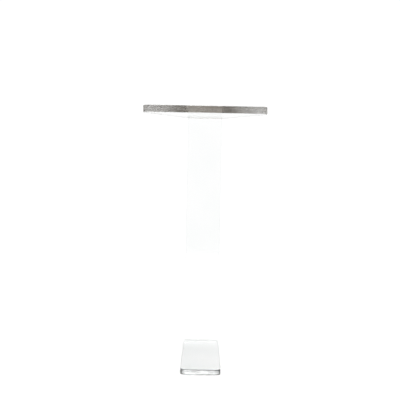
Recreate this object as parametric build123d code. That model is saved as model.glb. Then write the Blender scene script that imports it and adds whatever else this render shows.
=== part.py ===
from build123d import *
import os

# A headphone stand made of two pieces of clear acrylic sheet.
# A strip stands up as the upright and is heat-bent forward at the bottom to lie flat as the foot.
# A plate, the rest, is cemented across the upright's top end and carries the headband.
# +Z is up, the foot and the rest reach towards -Y, and the stand is the same on both sides of X = 0.
# The origin is on the table, under the middle of the stand's bounding box.

# Whole stand, mm
stand_height = 205.0
stand_depth = 125.0

# Strip that makes the upright and the foot
strip_width = 30.0
strip_thickness = 4.0
bend_inner_radius = 10.0
foot_corner_radius = 5.0

# Rest: wide across the front, narrowing behind its short straight sides to the strip's width
rest_width = 102.0
rest_depth = 60.0
rest_thickness = 6.0
rest_side_length = 10.0
rest_front_corner_radius = 5.0
rest_back_corner_radius = 1.0

# Sheet edges are flame-polished, which rounds them slightly
edge_round = 0.4

# How near two coordinates have to be to count as the same
same_place = 0.01

# Places that follow from those sizes
back_y = stand_depth / 2
foot_front_y = back_y - stand_depth
rest_front_y = back_y - rest_depth
upright_top_z = stand_height - rest_thickness


def is_at(value, place):
    """Whether a coordinate or a length is a given one."""
    return abs(value - place) < same_place


def strip_outline():
    """Side view of the bent strip: an L whose corner is a quarter-turn bend, in the YZ plane."""
    upright_front_y = back_y - strip_thickness
    outline = Polyline(
        (foot_front_y, 0),
        (back_y, 0),
        (back_y, upright_top_z),
        (upright_front_y, upright_top_z),
        (upright_front_y, strip_thickness),
        (foot_front_y, strip_thickness),
        close=True,
    )
    face = make_face(Plane.YZ * outline)
    corners = face.vertices().filter_by(lambda v: is_at(v.Y, back_y) and is_at(v.Z, 0))
    face = fillet(corners, bend_inner_radius + strip_thickness)
    corners = face.vertices().filter_by(
        lambda v: is_at(v.Y, upright_front_y) and is_at(v.Z, strip_thickness)
    )
    return fillet(corners, bend_inner_radius)


def is_polished(edge):
    """Whether an edge of the strip is on its cut rim, away from the end that meets the rest."""
    middle = edge.center()
    beside = is_at(abs(middle.X), strip_width / 2)
    in_front = middle.Y < foot_front_y + foot_corner_radius
    at_the_joint = is_at(middle.Z, upright_top_z)
    through_the_sheet = is_at(edge.length, strip_thickness)
    return (beside or in_front) and not at_the_joint and not through_the_sheet


def bent_upright_and_foot():
    """The strip, with rounded front corners and polished edges except where it meets the rest."""
    strip = extrude(strip_outline(), strip_width / 2, both=True)
    foot_corners = strip.edges().filter_by(Axis.Z).filter_by(lambda e: is_at(e.center().Y, foot_front_y))
    strip = fillet(foot_corners, foot_corner_radius)
    return fillet(strip.edges().filter_by(is_polished), edge_round)


def headband_rest():
    """The plate across the upright's top end, flush with the upright's back."""
    half_front = rest_width / 2
    half_back = strip_width / 2
    shoulder_y = rest_front_y + rest_side_length
    outline = Polyline(
        (-half_front, rest_front_y),
        (half_front, rest_front_y),
        (half_front, shoulder_y),
        (half_back, back_y),
        (-half_back, back_y),
        (-half_front, shoulder_y),
        close=True,
    )
    face = make_face(outline)
    wide_corners = face.vertices().filter_by(lambda v: is_at(abs(v.X), half_front))
    face = fillet(wide_corners, rest_front_corner_radius)
    back_corners = face.vertices().filter_by(lambda v: is_at(v.Y, back_y))
    face = fillet(back_corners, rest_back_corner_radius)

    rest = extrude(Pos(0, 0, upright_top_z) * face, rest_thickness)
    rims = rest.edges().group_by(Axis.Z)
    return fillet(rims[0] + rims[-1], edge_round)


def main():
    parts = {
        "headband_rest": headband_rest(),
        "bent_upright_and_foot": bent_upright_and_foot(),
    }
    os.makedirs("parts", exist_ok=True)
    for name, solid in parts.items():
        export_step(solid, f"parts/{name}.step")


main()
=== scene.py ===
import math

import bmesh
import bpy
from mathutils import Matrix, Vector


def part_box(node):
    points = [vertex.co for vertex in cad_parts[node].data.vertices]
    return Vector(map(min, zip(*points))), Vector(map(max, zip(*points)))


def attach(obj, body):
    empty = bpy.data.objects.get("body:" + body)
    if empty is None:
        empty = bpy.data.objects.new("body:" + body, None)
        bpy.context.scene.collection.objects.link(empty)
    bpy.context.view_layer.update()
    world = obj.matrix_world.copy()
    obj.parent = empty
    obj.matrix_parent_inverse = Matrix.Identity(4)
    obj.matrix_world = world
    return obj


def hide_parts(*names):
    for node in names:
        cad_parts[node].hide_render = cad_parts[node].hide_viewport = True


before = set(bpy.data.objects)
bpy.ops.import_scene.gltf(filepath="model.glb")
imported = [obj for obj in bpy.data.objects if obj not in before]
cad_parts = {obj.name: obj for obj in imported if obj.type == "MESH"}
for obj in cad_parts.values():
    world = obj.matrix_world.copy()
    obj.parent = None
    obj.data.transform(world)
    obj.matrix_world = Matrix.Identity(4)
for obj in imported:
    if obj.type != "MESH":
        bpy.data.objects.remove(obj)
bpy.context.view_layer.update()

# A headphone stand made of two pieces of clear acrylic sheet:
# a bent strip, and the rest cemented on top of it.

# ---------------------------------------------------------------- sizes, in metres
MM = 0.001

rest_low, rest_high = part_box("headband_rest")
strip_low, strip_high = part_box("bent_upright_and_foot")

# Bent strip: the upright and the foot
sheet_thickness = 4 * MM
bend_inner_radius = 10 * MM
foot_corner_radius = 5 * MM
strip_half_width = strip_high.x
strip_depth = strip_high.y - strip_low.y

# Rest: the plate that carries the headband
rest_thickness = rest_high.z - rest_low.z
rest_half_width = rest_high.x
rest_depth = rest_high.y - rest_low.y
rest_side_length = 10 * MM
rest_front_corner_radius = 5 * MM
rest_back_corner_radius = 1 * MM

# Edges: the arris rounds each corner of the edge, and between the arrises the edge is slightly crowned
arris_radius = 0.4 * MM
edge_crown = 0.03 * MM

# Joint: the strip runs a little into the rest, so that no film of air is left between them
joint_overlap = 0.03 * MM
bead_radius = 0.6 * MM

# Strip laid out flat: foot, bend along the middle of the sheet, and upright
bend_outer_radius = bend_inner_radius + sheet_thickness
bend_length = math.pi / 2 * (bend_inner_radius + sheet_thickness / 2)
foot_flat_length = strip_depth - bend_outer_radius
upright_length = strip_high.z + joint_overlap - bend_outer_radius
strip_length = foot_flat_length + bend_length + upright_length

# Borders: a narrow face between an arris and the broad face, and a narrower one along a square end
flat_border = 0.3 * MM
end_border = 0.02 * MM
sharpest_smooth_turn = math.radians(45)

# How finely the meshes are divided
arris_steps = 5
arc_step_degrees = 5
fewest_arc_steps = 6
rest_outline_step = 1.5 * MM
rest_columns = 28
rest_side_steps = 8
strip_outline_step = 1 * MM
strip_columns = 12
strip_side_steps = 5
foot_steps = 50
bend_steps = 48
upright_steps = 80
bead_steps = 8

# Where the edge's material starts, in lines down the rim: the rest's arris has the material of its faces
rest_edge_level = arris_steps + 1
strip_edge_level = 1

# The order of a piece's materials
on_face, on_edge, on_end = range(3)


# ---------------------------------------------------------------- sheet geometry
def rounded_outline(corners, radii, step):
    """Points and outward directions along an outline, from its first arc to its last, anticlockwise."""
    found = []
    for before, corner, after, radius in zip(corners, corners[1:], corners[2:], radii):
        inward = (corner - before).normalized()
        onward = (after - corner).normalized()
        start = math.atan2(inward.y, inward.x)
        turn = inward.angle(onward)
        centre = corner - inward * radius * math.tan(turn / 2) + Vector((-inward.y, inward.x)) * radius
        arc_steps = max(fewest_arc_steps, round(math.degrees(turn) / arc_step_degrees))
        arc = []
        for i in range(arc_steps + 1):
            heading = start + turn * i / arc_steps
            outward = Vector((math.sin(heading), -math.cos(heading)))
            arc.append((centre + outward * radius, outward))
        if found:
            found += straight_run(found[-1], arc[0], step)
        found += arc
    return found


def straight_run(first, last, step):
    """The points strictly between two outline points, about a step apart."""
    count = max(2, round((last[0] - first[0]).length / step))
    return [(first[0].lerp(last[0], i / count), first[1]) for i in range(1, count)]


def rim_levels(thickness, side_steps):
    """Inset and height of each line round the rim, from the upper face's border down to the lower one's."""
    upper = [(arris_radius + flat_border, thickness)]
    for i in range(arris_steps + 1):
        angle = math.pi / 2 * i / arris_steps
        inset = edge_crown + arris_radius * (1 - math.sin(angle))
        upper.append((inset, thickness - arris_radius * (1 - math.cos(angle))))
    side = []
    for i in range(1, side_steps):
        height = thickness - arris_radius - (thickness - 2 * arris_radius) * i / side_steps
        share = 2 * height / thickness - 1
        side.append((edge_crown * share * share, height))
    lower = [(inset, thickness - height) for inset, height in reversed(upper)]
    return upper + side + lower


def flat_point(share, entry, inset):
    """A flat point on an outline entry's row, at a share of its half width, with the outline drawn in."""
    point, outward = entry
    return share * (point.x - outward.x * inset), point.y - outward.y * inset


def build_sheet(name, outline, thickness, columns, side_steps, edge_level, place, materials):
    """A sheet piece with rounded edges, from the right half of its outline.
    place() takes a point of the flat sheet, and a height in it, to its place in the frame.
    A third material is for the end of the last row, and a piece that has one ends square there."""
    rows = len(outline) - 1
    levels = rim_levels(thickness, side_steps)
    shares = [2 * j / columns - 1 for j in range(columns + 1)]
    first, last = outline[0], outline[-1]
    has_square_end = len(materials) > on_end

    ring = [(share, first) for share in shares]
    ring += [(1, outline[k]) for k in range(1, rows)]
    ring += [(share, last) for share in reversed(shares)]
    ring += [(-1, outline[k]) for k in range(rows - 1, 0, -1)]

    mesh = bmesh.new()
    rings = []
    for level, (inset, height) in enumerate(levels):
        is_border = level in (0, len(levels) - 1)
        end_inset = end_border if is_border and has_square_end else 0
        line = []
        for share, entry in ring:
            x, s = flat_point(share, entry, inset)
            if entry is last:
                s -= end_inset
            line.append(mesh.verts.new(place(x, s, height)))
        rings.append(line)

    def cap(line, inset, height):
        """The vertices of a broad face as rows, its border shared with the rim."""
        grid = [line[: columns + 1]]
        for k in range(1, rows):
            right = line[columns + k]
            left = line[2 * columns + 2 * rows - k]
            inner = []
            for share in shares[1:-1]:
                x, s = flat_point(share, outline[k], inset)
                inner.append(mesh.verts.new(place(x, s, height)))
            grid.append([left] + inner + [right])
        grid.append(line[columns + rows : 2 * columns + rows + 1][::-1])
        return grid

    count = len(ring)
    end_start = columns + rows
    for level, (upper, lower) in enumerate(zip(rings, rings[1:])):
        rim_material = on_edge if edge_level <= level < len(levels) - 1 - edge_level else on_face
        end_material = on_end if has_square_end and 0 < level < len(levels) - 2 else rim_material
        for i in range(count):
            n = (i + 1) % count
            face = mesh.faces.new((upper[i], lower[i], lower[n], upper[n]))
            at_end = end_start <= i < end_start + columns
            face.material_index = end_material if at_end else rim_material
    for line, (inset, height), flip in ((rings[0], levels[0], False), (rings[-1], levels[-1], True)):
        grid = cap(line, inset, height)
        for a, b in zip(grid, grid[1:]):
            for j in range(columns):
                corners = (a[j], a[j + 1], b[j + 1], b[j])
                mesh.faces.new(reversed(corners) if flip else corners)

    bmesh.ops.recalc_face_normals(mesh, faces=mesh.faces)
    for edge in mesh.edges:
        edge.smooth = edge.calc_face_angle(0) < sharpest_smooth_turn
    data = bpy.data.meshes.new(name)
    mesh.to_mesh(data)
    mesh.free()
    for material in materials:
        data.materials.append(material)
    for polygon in data.polygons:
        polygon.use_smooth = True
    piece = bpy.data.objects.new(name, data)
    bpy.context.scene.collection.objects.link(piece)
    return piece


# ---------------------------------------------------------------- materials
acrylic_ior = 1.49


def new_material(name):
    material = bpy.data.materials.new(name)
    material.use_nodes = True
    tree = material.node_tree
    tree.nodes.clear()
    output = tree.nodes.new("ShaderNodeOutputMaterial")
    shader = tree.nodes.new("ShaderNodeBsdfPrincipled")
    tree.links.new(shader.outputs["BSDF"], output.inputs["Surface"])
    return material, tree, shader


def object_coordinates(tree):
    return tree.nodes.new("ShaderNodeTexCoord").outputs["Object"]


def stretched_noise(tree, position, scale, detail):
    """Noise whose grain has its own scale along each axis, in cycles per metre."""
    stretch = tree.nodes.new("ShaderNodeMapping")
    stretch.inputs["Scale"].default_value = scale
    tree.links.new(position, stretch.inputs["Vector"])
    grain = tree.nodes.new("ShaderNodeTexNoise")
    grain.inputs["Scale"].default_value = 1
    grain.inputs["Detail"].default_value = detail
    tree.links.new(stretch.outputs["Vector"], grain.inputs["Vector"])
    return grain.outputs["Fac"]


def distance_from_middle(tree, position):
    """How far a point is from the mirror plane."""
    split = tree.nodes.new("ShaderNodeSeparateXYZ")
    tree.links.new(position, split.inputs[0])
    size = tree.nodes.new("ShaderNodeMath")
    size.operation = "ABSOLUTE"
    tree.links.new(split.outputs["X"], size.inputs[0])
    return size.outputs["Value"]


def map_range(tree, value, limits, results):
    """A value spread smoothly from one range to another."""
    node = tree.nodes.new("ShaderNodeMapRange")
    node.interpolation_type = "SMOOTHSTEP"
    node.inputs["From Min"].default_value, node.inputs["From Max"].default_value = limits
    node.inputs["To Min"].default_value, node.inputs["To Max"].default_value = results
    tree.links.new(value, node.inputs["Value"])
    return node.outputs["Result"]


def add_values(tree, *weighted):
    """The sum of some values, each times its weight."""
    total = None
    for value, weight in weighted:
        node = tree.nodes.new("ShaderNodeMath")
        node.operation = "MULTIPLY_ADD"
        node.inputs[1].default_value = weight
        node.inputs[2].default_value = 0
        tree.links.new(value, node.inputs[0])
        if total is not None:
            tree.links.new(total, node.inputs[2])
        total = node.outputs["Value"]
    return total


def bump(tree, shader, height, strength, depth):
    node = tree.nodes.new("ShaderNodeBump")
    node.inputs["Strength"].default_value = strength
    node.inputs["Distance"].default_value = depth
    tree.links.new(height, node.inputs["Height"])
    tree.links.new(node.outputs["Normal"], shader.inputs["Normal"])


def blend_colours(tree, value, limits, low, high):
    """A colour that goes smoothly from low to high as the value passes between two limits."""
    mix = tree.nodes.new("ShaderNodeMix")
    mix.data_type = "RGBA"
    tree.links.new(map_range(tree, value, limits, results=(0, 1)), mix.inputs["Factor"])
    for socket, colour in ((mix.inputs["A"], low), (mix.inputs["B"], high)):
        if isinstance(colour, tuple):
            socket.default_value = colour
        else:
            tree.links.new(colour, socket)
    return mix.outputs["Result"]


def multiply_colours(tree, one, other):
    mix = tree.nodes.new("ShaderNodeMix")
    mix.data_type = "RGBA"
    mix.blend_type = "MULTIPLY"
    mix.inputs["Factor"].default_value = 1
    tree.links.new(one, mix.inputs["A"])
    tree.links.new(other, mix.inputs["B"])
    return mix.outputs["Result"]


def clear_face():
    """Polished face of cast acrylic, with hairline scratches both ways and a faint casting ripple."""
    material, tree, shader = new_material("acrylic_polished_face")
    shader.inputs["Roughness"].default_value = 0.015
    shader.inputs["IOR"].default_value = acrylic_ior
    shader.inputs["Transmission Weight"].default_value = 1
    position = object_coordinates(tree)
    tone = stretched_noise(tree, position, scale=(24, 24, 24), detail=2)
    tint = blend_colours(tree, tone, (0.3, 0.7), low=(0.965, 0.98, 0.978, 1), high=(0.99, 0.995, 0.995, 1))
    tree.links.new(tint, shader.inputs["Base Color"])

    across = stretched_noise(tree, position, scale=(30, 2400, 2400), detail=1)
    along = stretched_noise(tree, position, scale=(2100, 26, 34), detail=1)
    scratch_limits = (0.66, 0.72)
    across_scratches = map_range(tree, across, scratch_limits, results=(0, 1))
    along_scratches = map_range(tree, along, scratch_limits, results=(0, 1))
    ripple = stretched_noise(tree, position, scale=(60, 60, 60), detail=0)
    relief = add_values(tree, (across_scratches, -0.04), (along_scratches, -0.04), (ripple, 1.0))
    bump(tree, shader, relief, strength=1, depth=0.01 * MM)
    return material


def satin_edge():
    """Cut edge of the rest, sawn along its length and scraped. Its warm grey is painted shade, for the
    headband's shade and the dim room the edge reflects. Towards both ends it is painted lighter, for light
    that enters by the side edges, and it is clearer there.
    """
    material, tree, shader = new_material("acrylic_satin_edge")
    shader.inputs["IOR"].default_value = acrylic_ior
    position = object_coordinates(tree)
    sawing = stretched_noise(tree, position, scale=(14, 14, 2600), detail=3)
    chatter = stretched_noise(tree, position, scale=(420, 420, 60), detail=2)
    patches = stretched_noise(tree, position, scale=(38, 38, 90), detail=2)
    from_middle = distance_from_middle(tree, position)
    nearness_to_end = map_range(tree, from_middle, limits=(14 * MM, 42 * MM), results=(0, 1))
    haze = map_range(tree, patches, limits=(0.3, 0.7), results=(0, 1))

    # Painted shade: a dark warm grey in patches stands for the headband's shade and the dim room reflected
    # in the edge
    painted_shade_tone = blend_colours(tree, haze, (0.1, 0.9), low=(0.26, 0.235, 0.205, 1), high=(0.37, 0.342, 0.31, 1))
    # Painted light: towards both ends the colour turns pale, for light that enters through the side edges
    colour = blend_colours(tree, nearness_to_end, (0, 1), low=painted_shade_tone, high=(0.82, 0.81, 0.79, 1))
    streaks = blend_colours(tree, sawing, (0.35, 0.65), low=(0.8, 0.8, 0.8, 1), high=(1, 1, 1, 1))
    tree.links.new(multiply_colours(tree, colour, streaks), shader.inputs["Base Color"])
    clearness = map_range(tree, nearness_to_end, limits=(0, 1), results=(0.85, 0.97))
    tree.links.new(clearness, shader.inputs["Transmission Weight"])
    roughness = map_range(tree, haze, limits=(0, 1), results=(0.14, 0.3))
    tree.links.new(roughness, shader.inputs["Roughness"])
    relief = add_values(tree, (sawing, 1.0), (chatter, 0.5))
    bump(tree, shader, relief, strength=0.6, depth=0.05 * MM)
    return material


def polished_edge():
    """Flame-polished edge of the strip: glossy, with the ripple that the flame leaves along it."""
    material, tree, shader = new_material("acrylic_polished_edge")
    shader.inputs["Roughness"].default_value = 0.06
    shader.inputs["IOR"].default_value = acrylic_ior
    shader.inputs["Transmission Weight"].default_value = 1
    position = object_coordinates(tree)
    tone = stretched_noise(tree, position, scale=(90, 90, 90), detail=2)
    tint = blend_colours(tree, tone, (0.3, 0.7), low=(0.82, 0.85, 0.845, 1), high=(0.92, 0.94, 0.935, 1))
    tree.links.new(tint, shader.inputs["Base Color"])
    ripple = stretched_noise(tree, position, scale=(260, 260, 260), detail=1)
    sawing = stretched_noise(tree, position, scale=(2200, 60, 60), detail=1)
    relief = add_values(tree, (ripple, 1.0), (sawing, 0.06))
    bump(tree, shader, relief, strength=1, depth=0.05 * MM)
    return material


def cement_film():
    """End of the upright, wetted by the cement, with fine bubbles caught in it."""
    material, tree, shader = new_material("acrylic_cemented_end")
    shader.inputs["Roughness"].default_value = 0.05
    shader.inputs["IOR"].default_value = acrylic_ior
    shader.inputs["Transmission Weight"].default_value = 1
    cells = tree.nodes.new("ShaderNodeTexVoronoi")
    cells.inputs["Scale"].default_value = 1100
    tree.links.new(object_coordinates(tree), cells.inputs["Vector"])
    bubble = map_range(tree, cells.outputs["Distance"], limits=(0.12, 0.3), results=(1, 0))
    tint = blend_colours(tree, bubble, (0, 1), low=(0.985, 0.99, 0.99, 1), high=(0.8, 0.82, 0.82, 1))
    tree.links.new(tint, shader.inputs["Base Color"])
    bump(tree, shader, bubble, strength=1, depth=0.1 * MM)
    return material


clear = clear_face()
satin = satin_edge()
polished = polished_edge()
cement = cement_film()


# ---------------------------------------------------------------- pieces
def build_rest():
    """The rest: straight across the front, with short sides and then a taper back to the strip's width."""
    corners = [
        Vector((0, 0)),
        Vector((rest_half_width, 0)),
        Vector((rest_half_width, rest_side_length)),
        Vector((strip_half_width, rest_depth)),
        Vector((0, rest_depth)),
    ]
    radii = (rest_front_corner_radius, rest_front_corner_radius, rest_back_corner_radius)
    outline = rounded_outline(corners, radii, rest_outline_step)

    def place(x, s, h):
        return Vector((x, rest_low.y + s, rest_low.z + h))

    return build_sheet(
        "clear_headband_rest",
        outline,
        rest_thickness,
        columns=rest_columns,
        side_steps=rest_side_steps,
        edge_level=rest_edge_level,
        place=place,
        materials=(clear, satin),
    )


def bead_height(to_joint):
    """How far the bead of squeezed-out cement stands off the strip, this far below the rest."""
    share = min(1, max(0, 1 - to_joint / bead_radius))
    return bead_radius * (1 - math.sqrt(1 - share * share))


def build_strip():
    """The strip, drawn flat from the foot's front end to the joint, then bent up by a quarter turn."""
    corners = [Vector((0, 0)), Vector((strip_half_width, 0)), Vector((strip_half_width, strip_length))]
    outline = rounded_outline(corners, (foot_corner_radius,), strip_outline_step)
    sideways = Vector((1, 0))
    bend_end = foot_flat_length + bend_length
    bead_start = strip_length - bead_radius
    runs = (
        (foot_corner_radius, foot_flat_length, foot_steps),
        (foot_flat_length, bend_end, bend_steps),
        (bend_end, bead_start, upright_steps),
        (bead_start, strip_length, bead_steps),
    )
    for start, end, count in runs:
        for i in range(1, count + 1):
            point = Vector((strip_half_width, start + (end - start) * i / count))
            outline.append((point, sideways))

    centre_y = strip_low.y + foot_flat_length

    def place(x, s, h):
        radius = bend_outer_radius - h
        past_foot = s - foot_flat_length
        angle = max(0, min(math.pi / 2, math.pi / 2 * past_foot / bend_length))
        bead = bead_height(strip_length - s)
        y = centre_y + radius * math.sin(angle) + min(0, past_foot) - bead * h / sheet_thickness
        z = bend_outer_radius - radius * math.cos(angle) + max(0, past_foot - bend_length)
        return Vector((x + bead * x / strip_half_width, y, z))

    return build_sheet(
        "clear_bent_strip",
        outline,
        sheet_thickness,
        columns=strip_columns,
        side_steps=strip_side_steps,
        edge_level=strip_edge_level,
        place=place,
        materials=(clear, polished, cement),
    )


rest = build_rest()
strip = build_strip()
for piece, node in ((rest, "headband_rest"), (strip, "bent_upright_and_foot")):
    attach(piece, "root")
    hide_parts(node)


# ---------------------------------------------------------------- stage, light and camera
floor_gap = 0.15 * MM
floor_fade_start = 0.3
floor_radius = 1.1
floor_segments = 96

room_colour = (0.28, 0.26, 0.24, 1)
side_colour = (0.6, 0.6, 0.6, 1)
backdrop_colour = (1.06, 1.06, 1.06, 1)
overhead_colour = (1.4, 1.4, 1.4, 1)

lamp_place = Vector((0, 0.1, 1.4))
lamp_target = Vector((0, 0, 0.1))
lamp_size = 1.2
lamp_power = 9

camera_sensor_width = 36
camera_focal_length = 72.4
camera_distance = 0.712
camera_height = 0.142
camera_pitch = math.radians(1.22)
camera_roll = math.radians(1.1)
camera_yaw = math.radians(0.25)

# Light that enters the sheet is reflected along inside it many times
bounces_in_sheet = 40
glossy_bounces = 12


def build_floor():
    """A pale disc that fades out into the surroundings."""
    mesh = bmesh.new()
    bmesh.ops.create_circle(mesh, cap_ends=True, segments=floor_segments, radius=floor_radius)
    data = bpy.data.meshes.new("floor")
    mesh.to_mesh(data)
    mesh.free()
    floor = bpy.data.objects.new("floor", data)
    floor.location.z = -floor_gap
    bpy.context.scene.collection.objects.link(floor)

    material, tree, shader = new_material("pale_paper")
    shader.inputs["Base Color"].default_value = (0.92, 0.92, 0.915, 1)
    shader.inputs["Roughness"].default_value = 0.9
    distance = tree.nodes.new("ShaderNodeVectorMath")
    distance.operation = "LENGTH"
    tree.links.new(object_coordinates(tree), distance.inputs[0])
    fade_limits = (floor_fade_start, floor_radius)
    fade = map_range(tree, distance.outputs["Value"], fade_limits, results=(1, 0))
    tree.links.new(fade, shader.inputs["Alpha"])
    data.materials.append(material)


def build_world():
    """White behind the stand, brighter overhead, grey at the sides, dim and warm on the camera's side."""
    world = bpy.data.worlds.new("studio")
    world.use_nodes = True
    bpy.context.scene.world = world
    tree = world.node_tree
    tree.nodes.clear()
    output = tree.nodes.new("ShaderNodeOutputWorld")
    background = tree.nodes.new("ShaderNodeBackground")
    tree.links.new(background.outputs[0], output.inputs["Surface"])
    coordinates = tree.nodes.new("ShaderNodeTexCoord")
    split = tree.nodes.new("ShaderNodeSeparateXYZ")
    tree.links.new(coordinates.outputs["Generated"], split.inputs[0])
    towards_back = split.outputs["Y"]
    towards_top = split.outputs["Z"]
    colour = blend_colours(tree, towards_back, (-0.85, -0.1), low=room_colour, high=side_colour)
    colour = blend_colours(tree, towards_back, (0.5, 0.9), low=colour, high=backdrop_colour)
    colour = blend_colours(tree, towards_top, (0.3, 0.9), low=colour, high=overhead_colour)
    tree.links.new(colour, background.inputs["Color"])


def build_lamp():
    """A large soft light above the stand."""
    light = bpy.data.lights.new("overhead", "AREA")
    light.shape = "SQUARE"
    light.size = lamp_size
    light.energy = lamp_power
    lamp = bpy.data.objects.new("overhead", light)
    lamp.location = lamp_place
    lamp.rotation_mode = "QUATERNION"
    lamp.rotation_quaternion = (lamp_target - lamp_place).to_track_quat("-Z", "Y")
    bpy.context.scene.collection.objects.link(lamp)


def build_camera():
    """A camera in front of the stand, looking slightly down at the upright's front face."""
    camera_data = bpy.data.cameras.new("camera")
    camera_data.sensor_width = camera_sensor_width
    camera_data.lens = camera_focal_length
    camera = bpy.data.objects.new("camera", camera_data)
    bpy.context.scene.collection.objects.link(camera)
    upright_front_y = strip_high.y - sheet_thickness
    camera.location = (0, upright_front_y - camera_distance, camera_height)
    camera.rotation_mode = "QUATERNION"
    turned = Matrix.Rotation(camera_yaw, 3, "Z")
    pitched = Matrix.Rotation(math.pi / 2 - camera_pitch, 3, "X")
    rolled = Matrix.Rotation(camera_roll, 3, "Z")
    camera.rotation_quaternion = (turned @ pitched @ rolled).to_quaternion()
    bpy.context.scene.camera = camera


build_floor()
build_world()
build_lamp()
build_camera()
bpy.context.scene.cycles.max_bounces = bounces_in_sheet
bpy.context.scene.cycles.transmission_bounces = bounces_in_sheet
bpy.context.scene.cycles.glossy_bounces = glossy_bounces
bpy.context.scene.view_settings.view_transform = "Standard"
